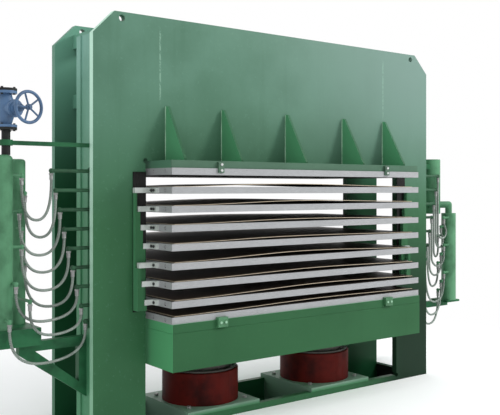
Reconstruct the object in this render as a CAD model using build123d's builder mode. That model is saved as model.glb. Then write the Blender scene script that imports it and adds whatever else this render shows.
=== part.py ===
"""Multi-daylight hot press for board sheets, in millimetres.

X runs along the long side of the heating platens, the loading front faces -Y, Z is up.
The origin lies under the middle of the press, in the plane of its feet at the bottom of the pit.
"""
import math
import os

from build123d import *

os.makedirs("parts", exist_ok=True)

# Press frame: two window plates of the same outline
PLATE_T = 56.0
FRAME_W = 3660.0
FRAME_H = 4220.0
FRAME_D = 740.0
FRAME_CHAMFER = 175.0
FOOT_CHAMFER = 60.0
WINDOW_W = 2786.0
WINDOW_BOTTOM = 1085.0
WINDOW_TOP = 3110.0
CORNER_RELIEF_R = 20.0
LIFT_HOLE_D = 50.0
LIFT_HOLE_X = 1593.0
LIFT_HOLE_DROP = 47.0
FLOOR_Z = 1035.0

FACE_Y = FRAME_D / 2
INNER_Y = FACE_Y - PLATE_T

# Heating platens and the daylights between them
PLATEN_L = 2700.0
PLATEN_W = 1370.0
PLATEN_T = 52.0
PLATEN_BREAK = 2.0
DAYLIGHT = 89.0
LAST_DAYLIGHT = 65.0
MOVING_PLATENS = 7
PITCH = PLATEN_T + DAYLIGHT
PLUG_D = 26.0
PLUG_DEPTH = 5.0
PLUG_COUNT = 8
PLUG_SPAN = 1180.0

# Ledge plate under the window top, which carries the top platen
LEDGE_T = 58.0
LEDGE_L = PLATEN_L
LEDGE_D = 1350.0
LEDGE_BOTTOM = WINDOW_TOP - LEDGE_T
GUSSET_T = 22.0
GUSSET_H = 425.0
GUSSET_REACH = 270.0
GUSSET_TOP = 30.0
GUSSET_TOE = 14.0
GUSSET_X = (-1205.0, -675.0, 0.0, 675.0, 1205.0)

TOP_PLATEN_Z = LEDGE_BOTTOM - PLATEN_T / 2
PLATEN_Z = [TOP_PLATEN_Z - PITCH * k for k in range(MOVING_PLATENS + 1)]
TABLE_PLATEN_Z = PLATEN_Z[-1] - PLATEN_T - LAST_DAYLIGHT

# Moving table: ribbed beam with a cover plate, lifted by two rams
TABLE_D = 1394.0
COVER_T = 67.0
BEAM_T = 284.0
COVER_TOP = TABLE_PLATEN_Z - PLATEN_T / 2
BEAM_TOP = COVER_TOP - COVER_T
BEAM_BOTTOM = BEAM_TOP - BEAM_T
BEAM_SKIN = 50.0
SEAM_BREAK = 3.0
POCKETS = ((0, 520), (-1130, 340), (1130, 340))
RAM_X = 650.0
RAM_LOW = 360.0
RAM_FIT = 0.08

# Cylinders, seated on the sill plates
SILL_PLATE_T = 35.0
SILL_PLATE_L = 715.0
SILL_WALL_T = 20.0
SILL_WALL_H = 480.0
SILL_BOLT_X = 560.0
SILL_BOLT_Y = FRAME_D - 220.0
SILL_BOLT_R = 19.0
SILL_BOLT_H = 18.0
BARREL_CLEAR = 14.0
BARREL_D = 2 * (INNER_Y - BARREL_CLEAR)
BARREL_WALL = 33.0
BARREL_BORE_D = BARREL_D - 2 * BARREL_WALL
RAM_D = BARREL_BORE_D - 14.0
HEAD_D = BARREL_D + 48.0
HEAD_H = 265.0
BARREL_LOW = 300.0
BARREL_FLOOR = 50.0
BARREL_GAP = 1.0
GLAND_D = HEAD_D - 36.0
GLAND_H = 14.0
GLAND_BOLTS = 12
GLAND_BOLT_R = 8.0
GLAND_BOLT_H = 9.0
SILL_TOP = WINDOW_BOTTOM + SILL_PLATE_T
HEAD_TOP = SILL_TOP + HEAD_H

# Side webs behind the front plate, with a slot for the steam pipes
WEB_T = 40.0
WEB_SET_IN = 10.0
WEB_D = 224.0
WEB_STRIP_W = 68.0
WEB_STRIP_T = 10.0
WEB_TOP = FRAME_H - FRAME_CHAMFER
SLOT_D = 54.0
SLOT_LOW = 1865.0
SLOT_HIGH = 3070.0
SLOT_POINT = 30.0
WEB_X = FRAME_W / 2 - WEB_SET_IN

# Cross ties between the two window plates
TIE_W = 150.0
TIE_H = 110.0
TIE_WALL = 16.0
TIE_X = 1600.0
TIE_EDGE = 140.0
TIE_Z = (
    TIE_EDGE,
    0.645 * WINDOW_BOTTOM,
    WINDOW_TOP + 0.44 * (FRAME_H - WINDOW_TOP),
    FRAME_H - TIE_EDGE,
)

# Stepped ladders that the platens' lugs rest on
STRIP_T = 8.0
STRIP_OUTER = 1504.0
STRIP_LOW = 1965.0
STRIP_HIGH = 3025.0
LADDER_T = 35.0
LADDER_LOW = 1979.0
FRONT_LADDER_T = 37.0
LUG_H = 40.0
LUG_T = 29.0
LUG_ARM_CLEAR = 2.0
LUG_REST = 18.0
LUG_LEG = 120.0
LUG_BOLT_R = 12.0
LUG_BOLT_H = 9.0
LUG_BOLT_STEP = 44.0
REAR_STAIRS = (1490.0, 1462.0, 1440.0, 1418.0)
FRONT_STAIRS = (1474.0, 1450.0, 1428.0)
LADDER_Y = FACE_Y + STRIP_T
FRONT_LADDER_Y = LADDER_Y + LADDER_T

# Clamp dogs that hold the top and bottom platens
TOP_DOG = (52.0, 14.0, 48.0, 34.0)
TABLE_DOG = (90.0, 26.0, 58.0, 20.0)
DOG_X = 915.0
DOG_BOLT_R = 11.0
DOG_BOLT_H = 9.0
DOG_BREAK = 6.0

# Caul sheets, one lying in each daylight
SHEET_L = 2600.0
SHEET_W = 1320.0
SHEET_T = 4.0
SHEET_X = -1310.0
SHEET_BOW = (20.0, 26.0, 16.0, 14.0, 30.0, 24.0, 32.0, 22.0)
SHEET_CREST = (0.30, 0.42, 0.36, 0.30, 0.45, 0.52, 0.58, 0.55)
SHEET_LIFT = (0.0, 6.0, 0.0, 0.0, 0.0, 8.0, 14.0, 12.0)

# Steam pipes out of the platen ends, and the hoses from them
PIPE_D = 27.0
PIPE_Y = -(INNER_Y - SLOT_D / 2)
ELBOW_D = 36.0
FERRULE_D = 26.0
FERRULE_L = 64.0
HOSE_D = 20.0
LEFT_END = 2115.0
LEFT_STEP = 33.0
RIGHT_END = 2109.0
RIGHT_STEP = 33.0

# Left steam header, with the valve above it
HEADER_X = -2480.0
HEADER_Y = -(INNER_Y - 16.0)
HEADER_D = 150.0
HEADER_LOW = FLOOR_Z + 894.0
HEADER_HIGH = FLOOR_Z + 2095.0
NIPPLE_X = -2345.0
NIPPLE_LANE = 20.0
NIPPLE_TOP = FLOOR_Z + 1953.0
NIPPLE_STEP = 247.0
RETURN_X = -2300.0
RETURN_Y = HEADER_Y + 178.0
RETURN_D = 110.0
RETURN_HIGH = FLOOR_Z + 2075.0
RETURN_NIPPLE_Y = HEADER_Y + 70.0
RETURN_NIPPLE_TOP = FLOOR_Z + 1830.0
LOW_TAPS = 6
FRONT_TAP_X = -2450.0
FRONT_TAP_Y = HEADER_Y - 132.0
LOOP_LOW = [FLOOR_Z + z for z in (1640, 1515, 1390, 1265, 1140, 1015, 930, 830, 640)]
VALVE_X = -2450.0
RISER_D = 60.0
FLANGE_D = 150.0
FLANGE_T = 18.0
VALVE_LOW = FLOOR_Z + 2285.0
VALVE_H = 250.0
VALVE_BODY_D = 120.0
WHEEL_TURN = 16.0
WHEEL_R = 115.0
WHEEL_TUBE = 11.0
WHEEL_OUT = 250.0
SPOKES = 5
STEM_D = 22.0
STEM_BEYOND = 22.0
HUB_D = 40.0
HUB_L = 26.0
SPOKE_D = 13.0
BONNET_D = 92.0
BONNET_L = 120.0
BONNET_FLANGE_D = 124.0
BONNET_FLANGE_T = 14.0
BONNET_FLANGE_OUT = 96.0
GLAND_NUT_D = 52.0
GLAND_NUT_L = 50.0

# Bracket and tie bar that carry the left headers
BRACKET_T = 60.0
BRACKET_TOP = FLOOR_Z + 772.0
BRACKET_ARM = 70.0
BRACKET_FOOT = FLOOR_Z + 320.0
BRACKET_Y = HEADER_Y + 88.0
BRACKET_END = -2335.0
BRACKET_END_H = 85.0
BRACKET_BOX = 60.0
PLATFORM_RIGHT = -2230.0
PLATFORM_LEFT = -2600.0
PLATFORM_FRONT = HEADER_Y - 87.0
PLATFORM_BACK = HEADER_Y + 258.0
PLATFORM_WALL = 12.0
TIE_BAR_Z = FLOOR_Z + 2180.0
TIE_BAR_S = 30.0
COLLAR_D = 92.0

# Right headers
RIGHT_X = 2325.0
RIGHT_Y = HEADER_Y + 48.0
RIGHT_D = 150.0
RIGHT_LOW = FLOOR_Z + 694.0
RIGHT_HIGH = FLOOR_Z + 1604.0
RIGHT_NIPPLE_X = 2200.0
RIGHT_NIPPLE_TOP = FLOOR_Z + 1560.0
RIGHT_NIPPLE_STEP = 95.0
RIGHT_LANE = 40.0
RIGHT_LOOP_DROP = 150.0
UPPER_X = 2148.0
UPPER_Y = HEADER_Y + 128.0
UPPER_D = 180.0
UPPER_LOW = FLOOR_Z + 1600.0
UPPER_HIGH = FLOOR_Z + 2167.0
LINK_D = 70.0
LINK_H = 90.0
ARM_S = 50.0
ARM_Y = UPPER_Y - 20.0
ARM_FROM_LOW = 100.0
ARM_FROM_HIGH = 80.0
SHELF_ARM_S = 60.0
SHELF_ARM_Y = HEADER_Y + 173.0
SHELF_L = 200.0
SHELF_W = 220.0
SHELF_T = 20.0

made = []


def keep(builder, node):
    """Label the builder's part and write it as one node."""
    builder.part.label = node
    export_step(builder.part, f"parts/{node}.step")
    made.append((node, builder.part.volume))


# Window plates
def window_plate(y_rear_face):
    with BuildPart() as plate:
        with BuildSketch(Plane.XZ.offset(-y_rear_face)):
            with BuildLine():
                Polyline(
                    (-FRAME_W / 2 + FOOT_CHAMFER, 0),
                    (FRAME_W / 2 - FOOT_CHAMFER, 0),
                    (FRAME_W / 2, FOOT_CHAMFER),
                    (FRAME_W / 2, FRAME_H - FRAME_CHAMFER),
                    (FRAME_W / 2 - FRAME_CHAMFER, FRAME_H),
                    (-FRAME_W / 2 + FRAME_CHAMFER, FRAME_H),
                    (-FRAME_W / 2, FRAME_H - FRAME_CHAMFER),
                    (-FRAME_W / 2, FOOT_CHAMFER),
                    close=True,
                )
            make_face()
            with Locations((0, (WINDOW_BOTTOM + WINDOW_TOP) / 2)):
                Rectangle(WINDOW_W, WINDOW_TOP - WINDOW_BOTTOM, mode=Mode.SUBTRACT)
                with GridLocations(WINDOW_W, WINDOW_TOP - WINDOW_BOTTOM, 2, 2):
                    Circle(CORNER_RELIEF_R, mode=Mode.SUBTRACT)
            with Locations(
                (-LIFT_HOLE_X, FRAME_H - LIFT_HOLE_DROP), (LIFT_HOLE_X, FRAME_H - LIFT_HOLE_DROP)
            ):
                Circle(LIFT_HOLE_D / 2, mode=Mode.SUBTRACT)
        extrude(amount=PLATE_T)
    return plate


keep(window_plate(-INNER_Y), "frame_front")
keep(window_plate(FACE_Y), "frame_rear")

# Side webs, each with its slot and a stiffening strip along the free edge
with BuildPart() as webs:
    for side in (-1, 1):
        face_x = side * WEB_X
        with BuildSketch(Plane.YZ.offset(face_x)):
            with BuildLine():
                Polyline(
                    (-INNER_Y, 0),
                    (-INNER_Y + WEB_D, 0),
                    (-INNER_Y + WEB_D, WEB_TOP),
                    (-INNER_Y, WEB_TOP),
                    (-INNER_Y, SLOT_HIGH),
                    (-INNER_Y + SLOT_D, SLOT_HIGH - SLOT_POINT),
                    (-INNER_Y + SLOT_D, SLOT_LOW),
                    (-INNER_Y, SLOT_LOW),
                    close=True,
                )
            make_face()
        extrude(amount=-side * WEB_T)
        with BuildSketch(Plane.YZ.offset(face_x)):
            with Locations((-INNER_Y + WEB_D - WEB_STRIP_W / 2, WEB_TOP / 2)):
                Rectangle(WEB_STRIP_W, WEB_TOP)
        extrude(amount=side * WEB_STRIP_T)
keep(webs, "side_webs")

# Hollow cross ties, face to face with both plates
with BuildPart() as ties:
    with BuildSketch(Plane.XZ.offset(-INNER_Y)):
        with Locations([(sx * TIE_X, z) for sx in (-1, 1) for z in TIE_Z]):
            Rectangle(TIE_W, TIE_H)
            Rectangle(TIE_W - 2 * TIE_WALL, TIE_H - 2 * TIE_WALL, mode=Mode.SUBTRACT)
    extrude(amount=2 * INNER_Y)
keep(ties, "cross_ties")

# Ledge plate through both windows
with BuildPart() as ledge:
    with Locations((0, 0, LEDGE_BOTTOM)):
        Box(LEDGE_L, LEDGE_D, LEDGE_T, align=(Align.CENTER, Align.CENTER, Align.MIN))
    chamfer(ledge.edges().filter_by(Axis.Z), 3)
keep(ledge, "ledge_plate")

# Gussets between the plates' faces and the ledge, front and rear
with BuildPart() as gussets:
    for x in GUSSET_X:
        for face in (-1, 1):
            with BuildSketch(Plane.YZ.offset(x - GUSSET_T / 2)):
                with BuildLine():
                    Polyline(
                        (face * FACE_Y, WINDOW_TOP),
                        (face * (FACE_Y + GUSSET_REACH), WINDOW_TOP),
                        (face * (FACE_Y + GUSSET_REACH), WINDOW_TOP + GUSSET_TOE),
                        (face * (FACE_Y + GUSSET_TOP), WINDOW_TOP + GUSSET_H),
                        (face * FACE_Y, WINDOW_TOP + GUSSET_H),
                        close=True,
                    )
                make_face()
            extrude(amount=GUSSET_T)
keep(gussets, "gussets")


# Platens, with the plugged ends of their drilled steam channels
def platen(z):
    with BuildPart() as plate:
        with Locations((0, 0, z)):
            Box(PLATEN_L, PLATEN_W, PLATEN_T)
        chamfer(plate.edges().filter_by(Axis.Z), PLATEN_BREAK)
        for side in (-1, 1):
            with BuildSketch(Plane.YZ.offset(side * PLATEN_L / 2)):
                with Locations((0, z)):
                    with GridLocations(PLUG_SPAN / (PLUG_COUNT - 1), 1, PLUG_COUNT, 1):
                        Circle(PLUG_D / 2)
            extrude(amount=-side * PLUG_DEPTH, mode=Mode.SUBTRACT)
    return plate


keep(platen(PLATEN_Z[0]), "platen_top")
for k in range(1, MOVING_PLATENS + 1):
    keep(platen(PLATEN_Z[k]), f"platen_{k}")
keep(platen(TABLE_PLATEN_Z), "platen_table")


# Lugs: a leg bolted to the platen's end and an arm that rests on its stair
def lug_set(z, stair, arm_y, arm_t):
    tip = stair + LUG_REST
    leg_y = FACE_Y + STRIP_T + LUG_ARM_CLEAR
    with BuildPart() as lugs:
        for sx in (-1, 1):
            for sy in (-1, 1):
                with BuildSketch(Plane.XY.offset(z - LUG_H / 2)):
                    with BuildLine():
                        Polyline(
                            (sx * PLATEN_L / 2, sy * arm_y),
                            (sx * tip, sy * arm_y),
                            (sx * tip, sy * (arm_y + arm_t)),
                            (sx * (PLATEN_L / 2 + LUG_T), sy * (arm_y + arm_t)),
                            (sx * (PLATEN_L / 2 + LUG_T), sy * (leg_y + LUG_LEG)),
                            (sx * PLATEN_L / 2, sy * (leg_y + LUG_LEG)),
                            close=True,
                        )
                    make_face()
                extrude(amount=LUG_H)
                with BuildSketch(Plane.YZ.offset(sx * (PLATEN_L / 2 + LUG_T))):
                    with Locations((sy * (leg_y + LUG_LEG - LUG_BOLT_STEP), z)):
                        with GridLocations(LUG_BOLT_STEP * 0.8, 1, 2, 1):
                            RegularPolygon(LUG_BOLT_R, 6)
                extrude(amount=sx * LUG_BOLT_H)
    return lugs


REAR_ARM_Y = LADDER_Y + LUG_ARM_CLEAR
REAR_ARM_T = LADDER_T - LUG_ARM_CLEAR
FRONT_ARM_Y = FRONT_LADDER_Y + 1.5 * LUG_ARM_CLEAR
FRONT_ARM_T = FRONT_LADDER_T - 1.5 * LUG_ARM_CLEAR
for k in range(1, MOVING_PLATENS + 1):
    if k <= len(REAR_STAIRS):
        lug_args = (REAR_STAIRS[k - 1], REAR_ARM_Y, REAR_ARM_T)
    else:
        lug_args = (FRONT_STAIRS[k - 1 - len(REAR_STAIRS)], FRONT_ARM_Y, FRONT_ARM_T)
    keep(lug_set(PLATEN_Z[k], *lug_args), f"lugs_{k}")


# Ladder outline: the outer edge is straight, the inner edge steps in below each lug
def stair_points(stairs, first, low):
    points = [(STRIP_OUTER, low), (STRIP_OUTER, PLATEN_Z[first] - LUG_H / 2)]
    for i, edge in enumerate(stairs):
        step_z = PLATEN_Z[first + i] - LUG_H / 2
        if i:
            points.append((stairs[i - 1], step_z))
        points.append((edge, step_z))
    points.append((stairs[-1], low))
    return points


with BuildPart() as ladders:
    for stairs, first, near_y, thick in (
        (REAR_STAIRS, 1, LADDER_Y, LADDER_T),
        (FRONT_STAIRS, 1 + len(REAR_STAIRS), FRONT_LADDER_Y, FRONT_LADDER_T),
    ):
        for sx in (-1, 1):
            for sy in (-1, 1):
                outline = [(sx * x, z) for x, z in stair_points(stairs, first, LADDER_LOW)]
                with BuildSketch(Plane.XZ.offset(-sy * near_y)):
                    with BuildLine():
                        Polyline(*outline, close=True)
                    make_face()
                extrude(amount=-sy * thick)
keep(ladders, "ladders")

with BuildPart() as strips:
    for sy in (-1, 1):
        with BuildSketch(Plane.XZ.offset(-sy * FACE_Y)):
            with Locations(
                *[
                    (sx * (WINDOW_W / 2 + STRIP_OUTER) / 2, (STRIP_LOW + STRIP_HIGH) / 2)
                    for sx in (-1, 1)
                ]
            ):
                Rectangle(STRIP_OUTER - WINDOW_W / 2, STRIP_HIGH - STRIP_LOW)
        extrude(amount=-sy * STRIP_T)
keep(strips, "guide_strips")


# Caul sheets: thin plates with a slight bow, lying on the platen below
def caul(z, bow, crest, lift):
    end_x = SHEET_X + SHEET_L
    crest_x = SHEET_X + SHEET_L * crest
    with BuildPart() as caul_sheet:
        with BuildSketch(Plane.XZ.offset(-SHEET_W / 2)):
            with BuildLine():
                low = Spline(
                    (SHEET_X, z), (crest_x, z + bow), (end_x, z + lift), tangents=((1, 0), (1, -0.01))
                )
                high = Spline(
                    (SHEET_X, z + SHEET_T),
                    (crest_x, z + bow + SHEET_T),
                    (end_x, z + lift + SHEET_T),
                    tangents=((1, 0), (1, -0.01)),
                )
                Line(low @ 0, high @ 0)
                Line(low @ 1, high @ 1)
            make_face()
        extrude(amount=SHEET_W)
    return caul_sheet


sheet_beds = [z + PLATEN_T / 2 for z in PLATEN_Z[1:] + [TABLE_PLATEN_Z]]
for k, bed in enumerate(sheet_beds):
    keep(caul(bed, SHEET_BOW[k], SHEET_CREST[k], SHEET_LIFT[k]), f"sheet_{k + 1}")

# Moving beam: a heavy plate with pockets between its ribs, open underneath
with BuildPart() as beam:
    with Locations((0, 0, BEAM_BOTTOM)):
        Box(PLATEN_L, TABLE_D, BEAM_T, align=(Align.CENTER, Align.CENTER, Align.MIN))
    with BuildSketch(Plane.XY.offset(BEAM_BOTTOM)):
        for pocket_x, pocket_w in POCKETS:
            with Locations((pocket_x, 0)):
                with GridLocations(1, TABLE_D / 2 - BEAM_SKIN / 2, 1, 2):
                    RectangleRounded(pocket_w, TABLE_D / 2 - 1.5 * BEAM_SKIN, 20)
    extrude(amount=BEAM_T - BEAM_SKIN, mode=Mode.SUBTRACT)
    chamfer(beam.faces().sort_by(Axis.Z)[-1].edges(), SEAM_BREAK)
keep(beam, "moving_beam")

with BuildPart() as cover:
    with Locations((0, 0, BEAM_TOP)):
        Box(PLATEN_L, TABLE_D, COVER_T, align=(Align.CENTER, Align.CENTER, Align.MIN))
    chamfer(cover.faces().sort_by(Axis.Z)[0].edges(), SEAM_BREAK)
keep(cover, "table_cover")

# Rams, cylinders and gland rings
with BuildPart() as rams:
    with Locations((-RAM_X, 0, RAM_LOW), (RAM_X, 0, RAM_LOW)):
        Cylinder(RAM_D / 2, BEAM_BOTTOM - RAM_LOW, align=(Align.CENTER, Align.CENTER, Align.MIN))
    chamfer(rams.edges().group_by(Axis.Z)[0], 15)
keep(rams, "rams")

with BuildPart() as cylinders:
    for side in (-1, 1):
        with BuildSketch(Plane.XZ):
            with BuildLine():
                Polyline(
                    (side * RAM_X, BARREL_LOW),
                    (side * RAM_X + BARREL_D / 2 - 30, BARREL_LOW),
                    (side * RAM_X + BARREL_D / 2, BARREL_LOW + 30),
                    (side * RAM_X + BARREL_D / 2, SILL_TOP),
                    (side * RAM_X + HEAD_D / 2, SILL_TOP),
                    (side * RAM_X + HEAD_D / 2, HEAD_TOP - 6),
                    (side * RAM_X + HEAD_D / 2 - 6, HEAD_TOP),
                    (side * RAM_X + BARREL_BORE_D / 2, HEAD_TOP),
                    (side * RAM_X + BARREL_BORE_D / 2, BARREL_LOW + BARREL_FLOOR),
                    (side * RAM_X, BARREL_LOW + BARREL_FLOOR),
                    close=True,
                )
            make_face()
        revolve(axis=Axis((side * RAM_X, 0, 0), (0, 0, 1)))
keep(cylinders, "cylinders")

with BuildPart() as glands:
    with BuildSketch(Plane.XY.offset(HEAD_TOP)):
        with Locations((-RAM_X, 0), (RAM_X, 0)):
            Circle(GLAND_D / 2)
            Circle(RAM_D / 2 + RAM_FIT, mode=Mode.SUBTRACT)
    extrude(amount=GLAND_H)
    with BuildSketch(Plane.XY.offset(HEAD_TOP + GLAND_H)):
        with Locations((-RAM_X, 0), (RAM_X, 0)):
            with PolarLocations((GLAND_D + RAM_D) / 4, GLAND_BOLTS):
                RegularPolygon(GLAND_BOLT_R, 6)
    extrude(amount=GLAND_BOLT_H)
keep(glands, "gland_rings")

# Sill plates with hanging side walls, and their corner bolts
with BuildPart() as sills:
    with BuildSketch(Plane.XY.offset(WINDOW_BOTTOM)):
        with Locations((-RAM_X, 0), (RAM_X, 0)):
            Rectangle(SILL_PLATE_L, FRAME_D)
            Circle(BARREL_D / 2 + BARREL_GAP, mode=Mode.SUBTRACT)
    extrude(amount=SILL_PLATE_T)
    with BuildSketch(Plane.XY.offset(WINDOW_BOTTOM)):
        for side in (-1, 1):
            with Locations((side * RAM_X, 0)):
                with GridLocations(SILL_PLATE_L - SILL_WALL_T, 1, 2, 1):
                    Rectangle(SILL_WALL_T, 2 * INNER_Y)
    extrude(amount=-SILL_WALL_H)
keep(sills, "sill_plates")

with BuildPart() as sill_bolts:
    for side in (-1, 1):
        with BuildSketch(Plane.XY.offset(SILL_TOP)):
            with Locations((side * RAM_X, 0)):
                with GridLocations(SILL_BOLT_X, SILL_BOLT_Y, 2, 2):
                    RegularPolygon(SILL_BOLT_R, 6)
        extrude(amount=SILL_BOLT_H)
keep(sill_bolts, "sill_bolts")


# Clamp dogs: a block against the carrier with a lip over the platen's edge, and two bolts
def dog_set(seam_z, carrier_y, dog, up, upright):
    width, thick, height, lip = dog
    platen_y = PLATEN_W / 2
    outer = max(carrier_y, platen_y) + thick
    with BuildPart() as dogs:
        for sx in (-1, 1):
            for sy in (-1, 1):
                with BuildSketch(Plane.YZ.offset(sx * DOG_X - width / 2)):
                    with BuildLine():
                        Polyline(
                            (sy * carrier_y, seam_z + up * height),
                            (sy * (outer - DOG_BREAK), seam_z + up * height),
                            (sy * outer, seam_z + up * (height - DOG_BREAK)),
                            (sy * outer, seam_z - up * lip),
                            (sy * platen_y, seam_z - up * lip),
                            (sy * platen_y, seam_z),
                            (sy * carrier_y, seam_z),
                            close=True,
                        )
                    make_face()
                extrude(amount=width)
                with BuildSketch(Plane.XZ.offset(-sy * outer)):
                    with Locations((sx * DOG_X, seam_z + up * (height - lip) / 2)):
                        if upright:
                            with GridLocations(1, (height + lip) * 0.55, 1, 2):
                                RegularPolygon(DOG_BOLT_R, 6)
                        else:
                            with GridLocations(width / 2, 1, 2, 1):
                                RegularPolygon(DOG_BOLT_R, 6)
                extrude(amount=-sy * DOG_BOLT_H)
    return dogs


keep(dog_set(LEDGE_BOTTOM, LEDGE_D / 2, TOP_DOG, 1, True), "clamp_dogs_top")
keep(dog_set(COVER_TOP, TABLE_D / 2, TABLE_DOG, -1, False), "clamp_dogs_table")


# Steam pipes: a stub from each end of the platen, an elbow and a ferrule pointing down
def steam_pipes(z, left_x, right_x):
    with BuildPart() as pipes:
        for side, end_x in ((-1, left_x), (1, right_x)):
            with BuildSketch(Plane.YZ.offset(side * PLATEN_L / 2)):
                with Locations((PIPE_Y, z)):
                    Circle(PIPE_D / 2)
            extrude(amount=side * (end_x - PLATEN_L / 2))
            with Locations((side * end_x, PIPE_Y, z)):
                Sphere(ELBOW_D / 2)
            with Locations((side * end_x, PIPE_Y, z)):
                Cylinder(FERRULE_D / 2, FERRULE_L, align=(Align.CENTER, Align.CENTER, Align.MAX))
    return pipes


pipe_levels = PLATEN_Z + [TABLE_PLATEN_Z]
left_ends = [LEFT_END - LEFT_STEP * k for k in range(len(pipe_levels))]
right_ends = [RIGHT_END - RIGHT_STEP * k for k in range(len(pipe_levels))]
pipe_nodes = ["pipes_top"] + [f"pipes_{k}" for k in range(1, MOVING_PLATENS + 1)] + ["pipes_table"]
for node, z, left_x, right_x in zip(pipe_nodes, pipe_levels, left_ends, right_ends):
    keep(steam_pipes(z, left_x, right_x), node)

# Where each hose leaves its header: even ones on the supply header, odd ones on the return header.
# The lowest taps come out at the front, so that their loops hang in front of the platform.
left_taps = []
for k in range(len(pipe_levels)):
    pair = k // 2
    lane = NIPPLE_LANE * (1 if pair % 2 else -1)
    high = (NIPPLE_TOP if k % 2 == 0 else RETURN_NIPPLE_TOP) - NIPPLE_STEP * pair
    if k % 2 == 0:
        spot = (NIPPLE_X, HEADER_Y + lane)
        if k >= LOW_TAPS:
            spot = (FRONT_TAP_X + 1.5 * lane, FRONT_TAP_Y + lane)
    elif k < LOW_TAPS:
        spot = (RETURN_X - lane, RETURN_NIPPLE_Y - lane)
    else:
        spot = (RETURN_X - 1.5 * NIPPLE_LANE, FRONT_TAP_Y)
    left_taps.append((*spot, high))
right_taps = [
    (RIGHT_NIPPLE_X, RIGHT_Y + RIGHT_LANE * (k % 3 - 1), RIGHT_NIPPLE_TOP - RIGHT_NIPPLE_STEP * k)
    for k in range(len(pipe_levels))
]


def tap_fitting(tap, start):
    """Nipple from the header at start, elbow and ferrule, added to the open part."""
    reach = (Vector(*tap) - Vector(*start)).length
    with BuildSketch(Plane(origin=start, z_dir=(Vector(*tap) - Vector(*start)).normalized())) as bore:
        Circle(PIPE_D / 2 - 2)
    extrude(bore.sketch, amount=reach)
    with Locations(tap):
        Sphere(ELBOW_D / 2 - 2)
    with Locations(tap):
        Cylinder(FERRULE_D / 2, FERRULE_L, align=(Align.CENTER, Align.CENTER, Align.MAX))


with BuildPart() as supply_header:
    with Locations((HEADER_X, HEADER_Y, HEADER_LOW)):
        Cylinder(
            HEADER_D / 2, HEADER_HIGH - HEADER_LOW, align=(Align.CENTER, Align.CENTER, Align.MIN)
        )
    fillet(supply_header.edges().group_by(Axis.Z)[-1], 35)
    for tap in left_taps[0:LOW_TAPS:2]:
        tap_fitting(tap, (HEADER_X, tap[1], tap[2]))
    for tap in left_taps[LOW_TAPS::2]:
        tap_fitting(tap, (tap[0], HEADER_Y, tap[2]))

with BuildPart() as return_header:
    with Locations((RETURN_X, RETURN_Y, HEADER_LOW)):
        Cylinder(
            RETURN_D / 2, RETURN_HIGH - HEADER_LOW, align=(Align.CENTER, Align.CENTER, Align.MIN)
        )
    fillet(return_header.edges().group_by(Axis.Z)[-1], 25)
    for tap in left_taps[1::2]:
        tap_fitting(tap, (tap[0], RETURN_Y, tap[2]))
with BuildPart() as left_headers:
    add(supply_header.part)
    add(return_header.part)
keep(left_headers, "left_headers")

# Riser, gate valve and its bonnet above the supply header
VALVE_MID = VALVE_LOW + VALVE_H / 2
VALVE_TOP = VALVE_LOW + VALVE_H
turn = math.radians(WHEEL_TURN)
STEM_DIR = Vector(math.sin(turn), -math.cos(turn), 0)
VALVE_POINT = Vector(VALVE_X, HEADER_Y, VALVE_MID)

with BuildPart() as riser:
    with Locations((VALVE_X, HEADER_Y, HEADER_HIGH)):
        Cylinder(
            RISER_D / 2, VALVE_LOW - HEADER_HIGH, align=(Align.CENTER, Align.CENTER, Align.MIN)
        )
    with Locations((VALVE_X, HEADER_Y, VALVE_LOW - FLANGE_T)):
        Cylinder(FLANGE_D / 2, FLANGE_T, align=(Align.CENTER, Align.CENTER, Align.MIN))
    with Locations((VALVE_X, HEADER_Y, VALVE_TOP)):
        Cylinder(FLANGE_D / 2, FLANGE_T, align=(Align.CENTER, Align.CENTER, Align.MIN))
    for seam_z in (VALVE_LOW, VALVE_TOP):
        for face_z, way in ((seam_z + FLANGE_T, 1), (seam_z - FLANGE_T, -1)):
            with BuildSketch(Plane.XY.offset(face_z)):
                with Locations((VALVE_X, HEADER_Y)):
                    with PolarLocations(FLANGE_D / 2 - 14, 4, start_angle=45):
                        RegularPolygon(9, 6)
            extrude(amount=way * 9)
keep(riser, "riser_pipe")
with BuildPart() as valve:
    with BuildSketch(Plane.XZ.offset(-HEADER_Y)):
        with BuildLine():
            Polyline(
                (VALVE_X, VALVE_LOW),
                (VALVE_X + FLANGE_D / 2, VALVE_LOW),
                (VALVE_X + FLANGE_D / 2, VALVE_LOW + FLANGE_T),
                (VALVE_X + RISER_D / 2 + 8, VALVE_LOW + FLANGE_T),
                (VALVE_X + VALVE_BODY_D / 2, VALVE_MID - 35),
                (VALVE_X + VALVE_BODY_D / 2, VALVE_MID + 35),
                (VALVE_X + RISER_D / 2 + 8, VALVE_TOP - FLANGE_T),
                (VALVE_X + FLANGE_D / 2, VALVE_TOP - FLANGE_T),
                (VALVE_X + FLANGE_D / 2, VALVE_TOP),
                (VALVE_X, VALVE_TOP),
                close=True,
            )
        make_face()
    revolve(axis=Axis((VALVE_X, HEADER_Y, 0), (0, 0, 1)))
    with BuildSketch(Plane(origin=VALVE_POINT, z_dir=STEM_DIR)):
        Circle(BONNET_D / 2)
    extrude(amount=BONNET_L)
    with BuildSketch(Plane(origin=VALVE_POINT + STEM_DIR * BONNET_FLANGE_OUT, z_dir=STEM_DIR)):
        Circle(BONNET_FLANGE_D / 2)
    extrude(amount=BONNET_FLANGE_T)
    with BuildSketch(Plane(origin=VALVE_POINT + STEM_DIR * BONNET_L, z_dir=STEM_DIR)):
        Circle(GLAND_NUT_D / 2)
    extrude(amount=GLAND_NUT_L)
keep(valve, "gate_valve")

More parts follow.
